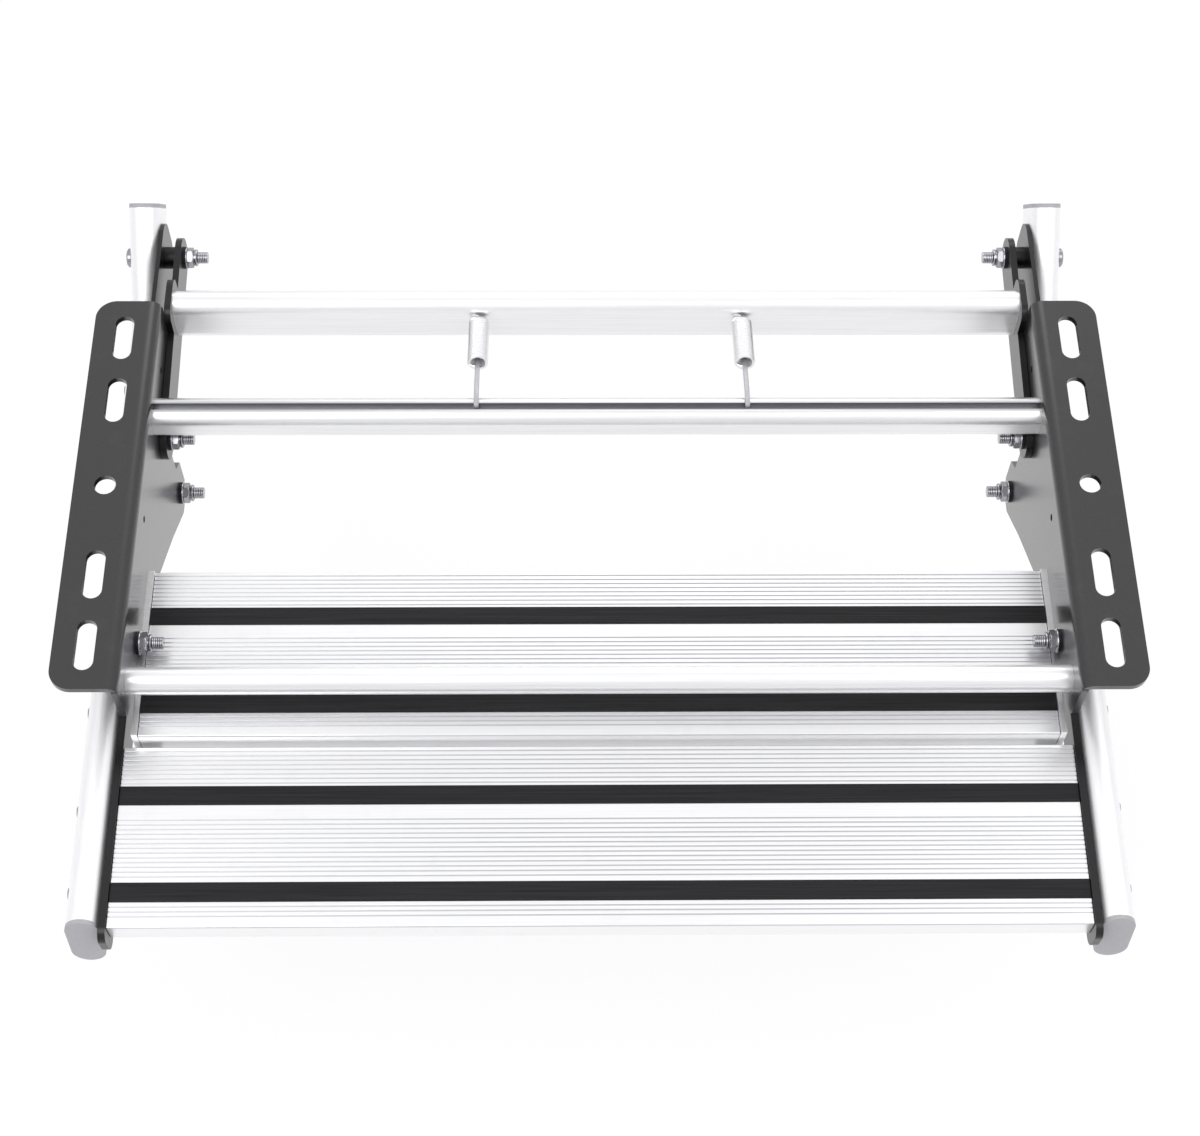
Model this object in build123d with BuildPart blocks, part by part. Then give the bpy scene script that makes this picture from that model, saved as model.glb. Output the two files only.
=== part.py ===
# Double camper step, stowed under the floor of a caravan.
# Frame: origin midway between the two centre holes on the mounting faces, +Z up against
# the vehicle floor, +X to the right seen from outside, -Y out of the vehicle. Millimetres.
import os
from math import cos, radians, sin, tan

from build123d import *

os.makedirs("parts", exist_ok=True)

# Mounting brackets, an L section with the flange turned outwards
bracket_width = 700.0
bracket_length = 304.0
bracket_wall = 4.5
flange_width = 44.0
bend_radius = 8.0
flange_corner = 14.0
slot_width = 13.0
slot_length = 36.0
slot_inner_y = 68.5
slot_outer_y = 120.5
slot_edge_distance = 21.0
centre_hole = 14.5
web_depth = 79.0
web_front_depth = 40.0
web_slope_start = 70.0
web_slope_run = 12.0
web_rear_run = 20.0
web_rear_rise = 8.0
web_corner = 3.5
service_hole = 5.0
service_hole_drop = 24.5
service_hole_rear_y = 110.0
service_hole_front_y = -12.0

# Pivots, each as its distance behind the centre hole and below the mounting face
arm_pivot_y = 72.0
arm_pivot_z = -54.0
link_pivot_y = -95.0
link_pivot_z = -46.0
arm_reach = 147.5
arm_rise = 16.6
stop_y = 76.0
stop_z = -132.0

# Corners of the web's lobe, each as its distance behind and above the stop bolt
lobe_corners = (
    (5.0, 24.0),
    (17.0, 16.0),
    (17.0, -8.0),
    (6.0, -18.0),
    (-6.0, -18.0),
    (-44.0, 10.0),
)

# Swing arms and links
arm_wall = 4.6
arm_half_width = 14.4
link_wall = 3.0
link_half_width = 14.0
bush_wall = 1.5
bush_clearance = 0.03
plate_gap = 0.3

# Threaded parts, M8
bolt_diameter = 8.0
bolt_head_diameter = 14.0
bolt_head_height = 3.2
bolt_head_chamfer = 1.1
socket_size = 5.0
socket_depth = 2.0
nut_size = 13.0
nut_height = 6.5
washer_diameter = 16.0
washer_wall = 1.6
thread_past_nut = 9.0
flush_head_diameter = 13.0
flush_head_depth = 2.5
pivot_clearance = 0.08
bolt_clearance = 0.25
nut_clearance = 0.05
screw_clearance = 0.2
spacer_clearance = 0.3
open_pivot_clearance = 0.3

# Oval side tubes of the lower step
tube_width = 22.0
tube_height = 46.0
tube_wall = 2.0
tube_gap = 0.4
tube_tilt = 2.0
tube_rear_tilt = 38.0
tube_bend_radius = 60.0
bend_to_arm_end = 51.5
tube_axis_drop = 7.0
tube_front = 466.5
tube_rear = 87.5
front_cap_slant = 11.0
cap_lip = 3.0
cap_plug = 16.0
cap_clearance = 0.15

# Cross bars
crossbar_depth = 20.0
crossbar_height = 40.0
crossbar_wall = 2.0
crossbar_boss = 36.0
crossbar_boss_cover = 1.5
crossbar_boss_corner = 9.0
crossbar_y = 165.0
crossbar_z = -31.5
rail_depth = 22.5
rail_height = 25.0
rail_wall = 2.0
rail_y = 71.0
rail_z = -24.5
rail_corner = 9.0
rail_groove_width = 5.0
rail_groove_depth = 6.0
front_bar_diameter = 18.0
front_bar_wall = 2.0
front_bar_y = -131.0
front_bar_z = -30.0

# Treads, one aluminium extrusion used twice
tread_depth = 123.5
tread_height = 22.0
tread_skin = 3.4
tread_bottom_skin = 2.0
tread_web = 2.4
rib_pitch = 3.2
rib_groove = 1.0
rib_groove_depth = 0.7
rear_rib_start = 1.6
rear_ribs = 8
middle_rib_start = 49.5
middle_ribs = 13
front_rib_start = 108.0
front_ribs = 3
strip_width = 13.0
strip_depth = 1.6
strip_proud = 0.5
strip_clearance = 0.1
rear_strip_from_back = 34.3
front_strip_from_back = 100.0
nose_radius = 5.0
edge_radius = 1.0
upper_tread_back_y = -34.5
upper_tread_top_z = -57.0
lower_tread_back = 343.0
lower_tread_rise = 18.2

# Plates that carry the treads
carrier_wall = 4.0
carrier_shelf = 16.0
carrier_rise = 2.2
carrier_gap = 0.4
side_plate_wall = 4.8
side_plate_rise = 20.0
side_plate_behind_tread = 45.0
side_plate_past_tread = 8.0
side_plate_shelf = 14.0
side_plate_shelf_wall = 3.0
shelf_end_gap = 6.0
side_plate_corner = 8.0
pivot_plate_wall = 3.0
pivot_plate_top = -18.0
pivot_plate_bottom = -92.0
pivot_plate_rear_end = 23.5
pivot_plate_overhang = 16.5
pivot_plate_corner = 14.0
tread_screw_diameter = 5.0
tread_screw_head = 9.0
tread_screw_head_height = 2.4
tread_screw_length = 9.0
tread_screw_from_end = 20.0
tread_screw_inset = 10.0
side_screw_diameter = 6.0
side_screw_head = 11.0
side_screw_head_height = 3.0
side_screw_taper = 25.0
side_screw_rear = 310.9
side_screw_middle = 381.4
side_screw_front = 437.5
pivot_screw_rear = 55.0
pivot_screw_front = 115.0

# Springs
spring_left_x = -84.0
spring_right_x = 103.0
spring_diameter = 14.8
spring_wire = 2.4
spring_length = 44.0
spring_rear_z = -26.0
spring_standoff = 3.0
spring_eye_hole = 6.4
strap_width = 3.4
strap_wall = 2.0
strap_clearance = 0.4
strap_hook_drop = 4.0
strap_inside = 40.0

# Sizes that follow from the ones above
web_inner = bracket_width / 2 - flange_width
web_outer = web_inner + bracket_wall
slot_x = bracket_width / 2 - slot_edge_distance
bolt_radius = bolt_diameter / 2
pivot_hole = bolt_radius + pivot_clearance
bolt_hole = bolt_radius + bolt_clearance
arm_outer = web_inner - plate_gap
arm_inner = arm_outer - arm_wall
link_inner = web_outer + plate_gap
link_outer = link_inner + link_wall
pivot_plate_inner = link_outer + plate_gap
tube_inner = pivot_plate_inner + pivot_plate_wall
tube_outer = tube_inner + tube_width
side_plate_inner = tube_inner - side_plate_wall
tube_x = (tube_inner + tube_outer) / 2
arm_end_y = arm_pivot_y + arm_reach
arm_end_z = arm_pivot_z + arm_rise
link_end_y = link_pivot_y + arm_reach
link_end_z = link_pivot_z + arm_rise
rear_rise = sin(radians(tube_rear_tilt))
rear_run = cos(radians(tube_rear_tilt))
knee_y = arm_end_y - bend_to_arm_end * rear_run + tube_axis_drop * rear_rise
knee_z = arm_end_z - bend_to_arm_end * rear_rise - tube_axis_drop * rear_run
bush_radius = bolt_radius + bush_wall
upper_tread_half = web_inner - carrier_wall - carrier_gap
lower_tread_half = side_plate_inner - carrier_gap
carrier_shelf_top = upper_tread_top_z - tread_height
carrier_bottom = carrier_shelf_top - carrier_wall
carrier_top = upper_tread_top_z + carrier_rise
plate_bottom = lower_tread_rise - tread_height - side_plate_shelf_wall
upper_screw_x = web_inner - tread_screw_inset
lower_screw_x = side_plate_inner - tread_screw_head / 2
SIDES = ((-1, "left"), (1, "right"))


def side_plane(x):
    """A plane across the step at x, with its first axis along +Y and its second up."""
    return Plane(origin=(x, 0, 0), x_dir=(0, 1, 0), z_dir=(1, 0, 0))


def tilted_plane(x):
    """The same, turned with the side tubes, with its origin where their two axes meet.

    Its first axis runs back along the tube and its second at right angles to it.
    """
    tilt = radians(tube_tilt)
    return Plane(origin=(x, knee_y, knee_z), x_dir=(0, cos(tilt), sin(tilt)), z_dir=(1, 0, 0))


def across_tube(along, tilt, turn=0.0):
    """A plane across a tube axis of that tilt, at a distance behind the bend."""
    slope = radians(tilt)
    start = (0, knee_y + along * cos(slope), knee_z + along * sin(slope))
    facing = radians(tilt - turn)
    return Plane(origin=start, x_dir=(1, 0, 0), z_dir=(0, cos(facing), sin(facing)))


def add_disc(side, x_near, length, y, z, radius, mode=Mode.ADD):
    """A round bar along X that starts x_near from the middle and runs outwards."""
    with BuildSketch(side_plane(side * x_near)) as disc:
        with Locations((y, z)):
            Circle(radius)
    extrude(disc.sketch, amount=side * length, mode=mode)


def add_bolt(side, x_tip, x_seat, y, z):
    """An M8 button head bolt with its head on the outside face at x_seat."""
    add_disc(side, x_tip, x_seat - x_tip, y, z, bolt_radius)
    add_disc(side, x_seat, bolt_head_height, y, z, bolt_head_diameter / 2)
    rim = edges(Select.LAST).filter_by(GeomType.CIRCLE).group_by(Axis.X)[-1 if side > 0 else 0]
    chamfer(rim, bolt_head_chamfer)
    with BuildSketch(side_plane(side * (x_seat + bolt_head_height))) as socket:
        with Locations((y, z)):
            RegularPolygon(socket_size / 2, 6, major_radius=False)
    extrude(socket.sketch, amount=-side * socket_depth, mode=Mode.SUBTRACT)


def add_flush_bolt(side, x_face, x_tip, y, z, gap=0.0, mode=Mode.ADD):
    """A countersunk bolt, its flush head in the face at x_face, or its hole with a gap."""
    cone = flush_head_depth if x_tip > x_face else -flush_head_depth
    with BuildSketch(Plane(origin=(0, y, z), x_dir=(side, 0, 0), z_dir=(0, 0, side))) as half:
        with BuildLine():
            Polyline(
                (x_face, 0),
                (x_face, flush_head_diameter / 2 + gap),
                (x_face + cone, bolt_radius + gap),
                (x_tip, bolt_radius + gap),
                (x_tip, 0),
                close=True,
            )
        make_face()
    revolve(half.sketch, Axis((0, y, z), (1, 0, 0)), 360, mode=mode)


def add_washer(side, x_seat, y, z):
    """A washer that lies on the inside face at x_seat."""
    add_disc(side, x_seat - washer_wall, washer_wall, y, z, washer_diameter / 2)
    add_disc(side, x_seat - washer_wall, washer_wall, y, z, bolt_hole, Mode.SUBTRACT)


def add_nut(side, x_seat, y, z):
    """A hexagon nut on the inside face of its washer."""
    x_near = x_seat - washer_wall - nut_height
    with BuildSketch(side_plane(side * x_near)) as hexagon:
        with Locations((y, z)):
            RegularPolygon(nut_size / 2, 6, major_radius=False)
            Circle(bolt_radius + nut_clearance, mode=Mode.SUBTRACT)
    extrude(hexagon.sketch, amount=side * nut_height)


def keep(part, name):
    """Name a finished piece and write it."""
    part.label = name
    export_step(part, f"parts/{name}.step")


# Mounting brackets: the web carries every pivot, and its lobe carries the stop bolt
half_length = bracket_length / 2
web_outline = [
    (-half_length, -bend_radius / 2),
    (half_length, -bend_radius / 2),
    (half_length, -web_depth + web_rear_rise),
    (half_length - web_rear_run, -web_depth),
    (stop_y + lobe_corners[0][0], -web_depth),
    *[(stop_y + behind, stop_z + above) for behind, above in lobe_corners],
    (-web_slope_start / 2, -web_depth),
    (-web_slope_start - web_slope_run, -web_depth),
    (-half_length, -web_front_depth),
]
for side, name in SIDES:
    with BuildPart() as bracket:
        with BuildSketch(side_plane(side * web_inner)):
            with BuildLine():
                Polyline(*web_outline, close=True)
            make_face()
            sharp = vertices().sort_by(Axis.Z)[:-2]
            fillet(sharp, web_corner)
        extrude(amount=side * bracket_wall)
        with BuildSketch(Plane.XY.offset(-bracket_wall)):
            with Locations((side * (web_inner + flange_width / 2), 0)):
                Rectangle(flange_width, bracket_length)
        extrude(amount=bracket_wall)
        outer = edges().filter_by(Axis.Z).group_by(Axis.X)[-1 if side > 0 else 0]
        fillet(outer, flange_corner)
        bend = edges().filter_by(Axis.Y).group_by(Axis.Z)[-1]
        fillet(bend.sort_by(Axis.X)[0 if side > 0 else -1], bend_radius)
        with BuildSketch(Plane.XY):
            for y in (-slot_outer_y, -slot_inner_y, slot_inner_y, slot_outer_y):
                with Locations((side * slot_x, y)):
                    SlotOverall(slot_length, slot_width, rotation=90)
            with Locations((side * slot_x, 0)):
                Circle(centre_hole / 2)
        extrude(amount=-bracket_wall, mode=Mode.SUBTRACT)
        for y, z, radius in (
            (link_pivot_y, link_pivot_z, pivot_hole),
            (stop_y, stop_z, bolt_hole),
            (service_hole_rear_y, -service_hole_drop, service_hole / 2),
            (service_hole_front_y, -service_hole_drop, service_hole / 2),
        ):
            add_disc(side, web_inner, bracket_wall, y, z, radius, Mode.SUBTRACT)
        add_flush_bolt(
            side, web_outer, web_inner, arm_pivot_y, arm_pivot_z, pivot_clearance, Mode.SUBTRACT
        )
    keep(bracket.part, f"{name}_bracket")

# Fixed rail between the brackets: a rounded box section with a groove for the spring hooks
with BuildPart() as rail:
    with BuildSketch(side_plane(-web_inner)):
        with Locations((rail_y, rail_z)):
            RectangleRounded(rail_depth, rail_height, rail_corner)
            RectangleRounded(
                rail_depth - 2 * rail_wall,
                rail_height - 2 * rail_wall,
                rail_corner - rail_wall,
                mode=Mode.SUBTRACT,
            )
        with Locations((rail_y, rail_z + rail_height / 2 - (rail_groove_depth + rail_wall) / 2)):
            Rectangle(rail_groove_width + 2 * rail_wall, rail_groove_depth + rail_wall)
        with Locations((rail_y, rail_z + rail_height / 2 - rail_groove_depth / 2)):
            Rectangle(rail_groove_width, rail_groove_depth, mode=Mode.SUBTRACT)
    extrude(amount=2 * web_inner)
keep(rail.part, "fixed_crossrail")

# Round bar across the front of the brackets
with BuildPart() as front_bar:
    with BuildSketch(side_plane(-web_inner)):
        with Locations((front_bar_y, front_bar_z)):
            Circle(front_bar_diameter / 2)
            Circle(front_bar_diameter / 2 - front_bar_wall, mode=Mode.SUBTRACT)
    extrude(amount=2 * web_inner)
keep(front_bar.part, "front_crossbar")

# Pivot and stop bolts of the brackets, with their washers and nuts
nut_stack = washer_wall + nut_height + thread_past_nut
with BuildPart() as arm_bolts:
    for side, name in SIDES:
        add_flush_bolt(side, web_outer, arm_inner - nut_stack, arm_pivot_y, arm_pivot_z)
keep(arm_bolts.part, "arm_pivot_bolts")

with BuildPart() as link_bolts:
    for side, name in SIDES:
        add_flush_bolt(side, link_outer, web_inner - nut_stack, link_pivot_y, link_pivot_z)
keep(link_bolts.part, "link_pivot_bolts")

with BuildPart() as stop_bolts:
    for side, name in SIDES:
        add_bolt(side, web_inner - nut_stack, web_outer, stop_y, stop_z)
keep(stop_bolts.part, "stop_bolts")

bracket_nut_places = (
    (arm_inner, arm_pivot_y, arm_pivot_z),
    (web_inner, link_pivot_y, link_pivot_z),
    (web_inner, stop_y, stop_z),
)
with BuildPart() as bracket_washers:
    for side, name in SIDES:
        for seat, y, z in bracket_nut_places:
            add_washer(side, seat, y, z)
keep(bracket_washers.part, "bracket_washers")

with BuildPart() as bracket_nuts:
    for side, name in SIDES:
        for seat, y, z in bracket_nut_places:
            add_nut(side, seat, y, z)
keep(bracket_nuts.part, "bracket_nuts")


def tread_section(plane, back, top):
    """Hollow section of the tread, forwards and down from its back upper edge."""
    cells = (0.0, rear_strip_from_back + strip_width, front_strip_from_back - strip_width, tread_depth)
    with BuildSketch(plane) as section:
        with Locations((back - tread_depth / 2, top - tread_height / 2)):
            Rectangle(tread_depth, tread_height)
        fillet(section.vertices().group_by(Axis.Y)[0], nose_radius)
        fillet(section.vertices().group_by(Axis.Y)[-1], edge_radius)
        for near, far in zip(cells, cells[1:]):
            width = far - near - tread_web
            height = tread_height - tread_skin - tread_bottom_skin
            middle = back - (near + far) / 2
            with Locations((middle, top - tread_skin - height / 2)):
                RectangleRounded(width, height, edge_radius, mode=Mode.SUBTRACT)
        for start, count in (
            (rear_rib_start, rear_ribs),
            (middle_rib_start, middle_ribs),
            (front_rib_start, front_ribs),
        ):
            first = back - start - rib_pitch / 2
            with Locations([(first - i * rib_pitch, top) for i in range(count)]):
                Rectangle(rib_groove, 2 * rib_groove_depth, mode=Mode.SUBTRACT)
        for place in (rear_strip_from_back, front_strip_from_back):
            with Locations((back - place, top)):
                Rectangle(strip_width + 2 * strip_clearance, 2 * strip_depth, mode=Mode.SUBTRACT)
    return section.sketch


def strip_section(plane, back, top, place):
    """Section of a black strip that lies in its groove and stands a little proud."""
    height = strip_depth + strip_proud
    with BuildSketch(plane) as section:
        with Locations((back - place, top + strip_proud - height / 2)):
            Rectangle(strip_width, height)
    return section.sketch


def add_screw_shanks(plane, back, under, x, gap=0.0, mode=Mode.ADD):
    """Four screws up into a tread's floor from under its shelves, or their holes."""
    for side, name in SIDES:
        for from_back in (tread_screw_from_end, tread_depth - tread_screw_from_end):
            place = plane.from_local_coords(Vector(back - from_back, under, side * x))
            across = Plane(origin=place, x_dir=(1, 0, 0), z_dir=plane.y_dir)
            with BuildSketch(across) as shank:
                Circle(tread_screw_diameter / 2 + gap)
            extrude(shank.sketch, amount=tread_screw_length, mode=mode)
            if mode == Mode.ADD:
                with BuildSketch(across) as head:
                    Circle(tread_screw_head / 2)
                extrude(head.sketch, amount=-tread_screw_head_height)


# Two treads, the upper one fixed between the brackets and the lower one between the tubes
upper_place = (side_plane(0), upper_tread_back_y, carrier_bottom, upper_screw_x)
lower_place = (tilted_plane(0), -lower_tread_back, plate_bottom, lower_screw_x)
for name, place, top, half in (
    ("upper", upper_place, upper_tread_top_z, upper_tread_half),
    ("lower", lower_place, lower_tread_rise, lower_tread_half),
):
    plane, back = place[:2]
    with BuildPart() as tread:
        extrude(tread_section(plane, back, top), amount=half, both=True)
        add_screw_shanks(*place, screw_clearance, Mode.SUBTRACT)
    keep(tread.part, f"{name}_tread")
    with BuildPart() as tread_screws:
        add_screw_shanks(*place)
    keep(tread_screws.part, f"{name}_tread_screws")
    for strip_name, centre in (("rear", rear_strip_from_back), ("front", front_strip_from_back)):
        with BuildPart() as strip:
            extrude(strip_section(plane, back, top, centre), amount=half, both=True)
        keep(strip.part, f"{name}_tread_{strip_name}_strip")

for side, name in SIDES:
    with BuildPart() as carrier:
        with BuildSketch(Plane.XZ.offset(-upper_tread_back_y)) as angle:
            with BuildLine():
                Polyline(
                    (side * web_inner, carrier_top),
                    (side * web_inner, carrier_bottom),
                    (side * (web_inner - carrier_shelf), carrier_bottom),
                    (side * (web_inner - carrier_shelf), carrier_shelf_top),
                    (side * (web_inner - carrier_wall), carrier_shelf_top),
                    (side * (web_inner - carrier_wall), carrier_top),
                    close=True,
                )
            make_face()
        extrude(amount=tread_depth)
        add_screw_shanks(*upper_place, screw_clearance, Mode.SUBTRACT)
    keep(carrier.part, f"{name}_tread_angle")

# Swing arms at the rear: flat bars with a boss that carries the cross bar
for side, name in SIDES:
    with BuildPart() as arm:
        with BuildSketch(side_plane(side * arm_inner)):
            with Locations((arm_pivot_y, arm_pivot_z), (arm_end_y, arm_end_z)):
                Circle(arm_half_width)
            make_hull()
            with Locations((crossbar_y, crossbar_z + crossbar_boss_cover)):
                RectangleRounded(crossbar_boss, crossbar_height, crossbar_boss_corner)
            with Locations((arm_pivot_y, arm_pivot_z), (arm_end_y, arm_end_z)):
                Circle(bush_radius + bush_clearance, mode=Mode.SUBTRACT)
        extrude(amount=side * arm_wall)
    keep(arm.part, f"{name}_swing_arm")

with BuildPart() as arm_bushes:
    for side, name in SIDES:
        for y, z in ((arm_pivot_y, arm_pivot_z), (arm_end_y, arm_end_z)):
            add_disc(side, arm_inner, arm_wall, y, z, bush_radius)
            add_disc(side, arm_inner, arm_wall, y, z, pivot_hole, Mode.SUBTRACT)
keep(arm_bushes.part, "arm_bushes")

with BuildPart() as crossbar:
    with BuildSketch(side_plane(-arm_inner)):
        with Locations((crossbar_y, crossbar_z)):
            SlotOverall(crossbar_height, crossbar_depth, rotation=90)
            SlotOverall(
                crossbar_height - 2 * crossbar_wall,
                crossbar_depth - 2 * crossbar_wall,
                rotation=90,
                mode=Mode.SUBTRACT,
            )
    extrude(amount=2 * arm_inner)
    with BuildSketch(Plane.XZ.offset(-crossbar_y)):
        with Locations((spring_left_x, spring_rear_z), (spring_right_x, spring_rear_z)):
            Circle(spring_eye_hole / 2)
    extrude(amount=crossbar_depth, mode=Mode.SUBTRACT)
keep(crossbar.part, "arm_crossbar")

# Links at the front, outside the brackets
for side, name in SIDES:
    with BuildPart() as link:
        with BuildSketch(side_plane(side * link_inner)):
            with Locations((link_pivot_y, link_pivot_z), (link_end_y, link_end_z)):
                Circle(link_half_width)
            make_hull()
        extrude(amount=side * link_wall)
        add_flush_bolt(
            side, link_outer, link_inner, link_pivot_y, link_pivot_z, pivot_clearance, Mode.SUBTRACT
        )
        add_flush_bolt(
            side, link_inner, link_outer, link_end_y, link_end_z, open_pivot_clearance, Mode.SUBTRACT
        )
    keep(link.part, f"{name}_front_link")


def oval(plane, side, shrink=0.0, stretch=1.0):
    """The side tube's outline on a plane across it, made smaller all round by shrink."""
    with BuildSketch(plane) as outline:
        with Locations((side * tube_x, 0)):
            SlotOverall(
                (tube_height - 2 * shrink) * stretch, tube_width - 2 * shrink, rotation=90
            )
    return outline.sketch


side_places = (side_screw_rear, side_screw_middle, side_screw_front)
pivot_places = (pivot_screw_rear, pivot_screw_front)
side_screw_radius = side_screw_diameter / 2
bend_angle = tube_rear_tilt - tube_tilt
bend_start = tube_bend_radius * tan(radians(bend_angle / 2))
bend_plane = across_tube(-bend_start, tube_tilt)
bend_centre = bend_plane.from_local_coords(Vector(0, -tube_bend_radius, 0))
bend_axis = Axis(bend_centre, (1, 0, 0))
front_face = across_tube(-tube_front, tube_tilt, front_cap_slant)
front_stretch = 1 / cos(radians(front_cap_slant))
rear_face = across_tube(tube_rear, tube_rear_tilt)

# Side tubes of the lower step, straight in front and bent up behind
for side, name in SIDES:
    with BuildPart() as tube:
        for shrink, mode in ((0.0, Mode.ADD), (tube_wall, Mode.SUBTRACT)):
            straight = tube_front - bend_start + tube_height
            extrude(oval(bend_plane, side, shrink), amount=-straight, mode=mode)
            revolve(oval(bend_plane, side, shrink), bend_axis, bend_angle, mode=mode)
            rear_start = across_tube(bend_start, tube_rear_tilt)
            extrude(oval(rear_start, side, shrink), amount=tube_rear - bend_start, mode=mode)
        split(bisect_by=front_face, keep=Keep.TOP)
        with BuildSketch(tilted_plane(side * (tube_inner - tube_gap))) as screw_holes:
            with Locations([(-place, 0) for place in side_places + pivot_places]):
                Circle(side_screw_radius + screw_clearance)
        through = side * (tube_width + 2 * tube_gap)
        extrude(screw_holes.sketch, amount=through, mode=Mode.SUBTRACT)
        add_disc(
            side,
            tube_inner - tube_gap,
            tube_width + 2 * tube_gap,
            arm_end_y,
            arm_end_z,
            bolt_hole,
            Mode.SUBTRACT,
        )
    keep(tube.part, f"{name}_side_tube")

# Grey plastic plugs in the ends of the tubes
plug_shrink = tube_wall + cap_clearance
with BuildPart() as front_caps:
    for side, name in SIDES:
        extrude(oval(front_face, side, 0.0, front_stretch), amount=-cap_lip)
        extrude(
            oval(front_face, side, plug_shrink, front_stretch),
            amount=cap_plug,
            dir=bend_plane.z_dir,
        )
keep(front_caps.part, "tube_front_caps")

with BuildPart() as rear_caps:
    for side, name in SIDES:
        extrude(oval(rear_face, side), amount=cap_lip)
        extrude(oval(rear_face, side, plug_shrink), amount=-cap_plug)
keep(rear_caps.part, "tube_rear_caps")

# Side plates that carry the lower tread, each with a shelf turned in under it
plate_rear = -lower_tread_back + side_plate_behind_tread
plate_front = -lower_tread_back - tread_depth - side_plate_past_tread
for side, name in SIDES:
    with BuildPart() as side_plate:
        with BuildSketch(tilted_plane(side * side_plate_inner)) as wall:
            with BuildLine():
                Polyline(
                    (plate_rear, side_plate_rise),
                    (plate_rear, plate_bottom),
                    (plate_front, plate_bottom),
                    (plate_front, side_plate_rise),
                    close=True,
                )
            make_face()
            fillet(vertices(), side_plate_corner)
            with Locations([(-place, 0) for place in side_places]):
                Circle(side_screw_radius + screw_clearance, mode=Mode.SUBTRACT)
        extrude(amount=side * side_plate_wall)
        with BuildSketch(tilted_plane(side * tube_inner)) as shelf:
            shelf_middle = -lower_tread_back - tread_depth / 2
            with Locations((shelf_middle, plate_bottom + side_plate_shelf_wall / 2)):
                Rectangle(tread_depth - 2 * shelf_end_gap, side_plate_shelf_wall)
        extrude(amount=-side * side_plate_shelf)
        add_screw_shanks(*lower_place, screw_clearance, Mode.SUBTRACT)
    keep(side_plate.part, f"{name}_side_plate")

# Pivot plates inside the tubes, which carry the ends of the swing arms and of the links
pivot_plate_outline = [
    (arm_end_y + pivot_plate_rear_end, pivot_plate_top),
    (arm_end_y + pivot_plate_rear_end, arm_end_z - pivot_plate_overhang),
    (knee_y, pivot_plate_bottom),
    (link_end_y - pivot_plate_overhang, pivot_plate_bottom),
    (link_end_y - pivot_plate_overhang, pivot_plate_top),
]
for side, name in SIDES:
    with BuildPart() as pivot_plate:
        with BuildSketch(side_plane(side * pivot_plate_inner)):
            with BuildLine():
                Polyline(*pivot_plate_outline, close=True)
            make_face()
            fillet(vertices(), pivot_plate_corner)
            with Locations((arm_end_y, arm_end_z)):
                Circle(bolt_hole, mode=Mode.SUBTRACT)
            with Locations((link_end_y, link_end_z)):
                Circle(bolt_radius + nut_clearance, mode=Mode.SUBTRACT)
        extrude(amount=side * pivot_plate_wall)
        with BuildSketch(tilted_plane(side * pivot_plate_inner)) as screw_holes:
            with Locations([(-place, 0) for place in pivot_places]):
                Circle(side_screw_radius + screw_clearance)
        extrude(screw_holes.sketch, amount=side * pivot_plate_wall, mode=Mode.SUBTRACT)
    keep(pivot_plate.part, f"{name}_pivot_plate")

# Button head screws through the tubes into the plates
with BuildPart() as side_screws:
    for side, name in SIDES:
        for places, x_tip in ((side_places, side_plate_inner), (pivot_places, pivot_plate_inner)):
            for place in places:
                with BuildSketch(tilted_plane(side * (x_tip + carrier_gap))) as shank:
                    with Locations((-place, 0)):
                        Circle(side_screw_radius)
                extrude(shank.sketch, amount=side * (tube_outer - x_tip - carrier_gap))
                with BuildSketch(tilted_plane(side * tube_outer)) as head:
                    with Locations((-place, 0)):
                        Circle(side_screw_head / 2)
                extrude(head.sketch, amount=side * side_screw_head_height, taper=side_screw_taper)
keep(side_screws.part, "side_screws")

# Bolts that join arms, pivot plates and tubes, with spacers as thick as the brackets
with BuildPart() as frame_bolts:
    for side, name in SIDES:
        add_bolt(side, arm_inner - nut_stack, tube_outer, arm_end_y, arm_end_z)
keep(frame_bolts.part, "frame_bolts")

with BuildPart() as frame_washers:
    for side, name in SIDES:
        add_washer(side, arm_inner, arm_end_y, arm_end_z)
keep(frame_washers.part, "frame_washers")

with BuildPart() as frame_nuts:
    for side, name in SIDES:
        add_nut(side, arm_inner, arm_end_y, arm_end_z)
keep(frame_nuts.part, "frame_nuts")

with BuildPart() as frame_spacers:
    for side, name in SIDES:
        length = pivot_plate_inner - arm_outer - spacer_clearance
        x_near = pivot_plate_inner - length
        add_disc(side, x_near, length, arm_end_y, arm_end_z, washer_diameter / 2)
        add_disc(side, x_near, length, arm_end_y, arm_end_z, bolt_hole, Mode.SUBTRACT)
keep(frame_spacers.part, "frame_spacers")

with BuildPart() as link_pins:
    for side, name in SIDES:
        add_flush_bolt(side, link_inner, tube_inner, link_end_y, link_end_z)
keep(link_pins.part, "link_pins")

# Springs: a close coil hooked into the cross bar, and a flat strap hooked over the rail
crossbar_face = crossbar_y - crossbar_depth / 2
rail_top = rail_z + rail_height / 2
strap_y = rail_y + rail_depth / 2 + strap_clearance
strap_z = rail_top + strap_clearance + strap_wall / 2
spring_run = Vector(0, strap_y - crossbar_face, strap_z - spring_rear_z)
spring_direction = spring_run.normalized()


def spring_plane(x, along):
    """A plane across the spring, with its normal from the cross bar towards the rail."""
    start = Vector(x, crossbar_face, spring_rear_z) + spring_direction * along
    return Plane(origin=start, x_dir=(1, 0, 0), z_dir=spring_direction)


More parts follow.
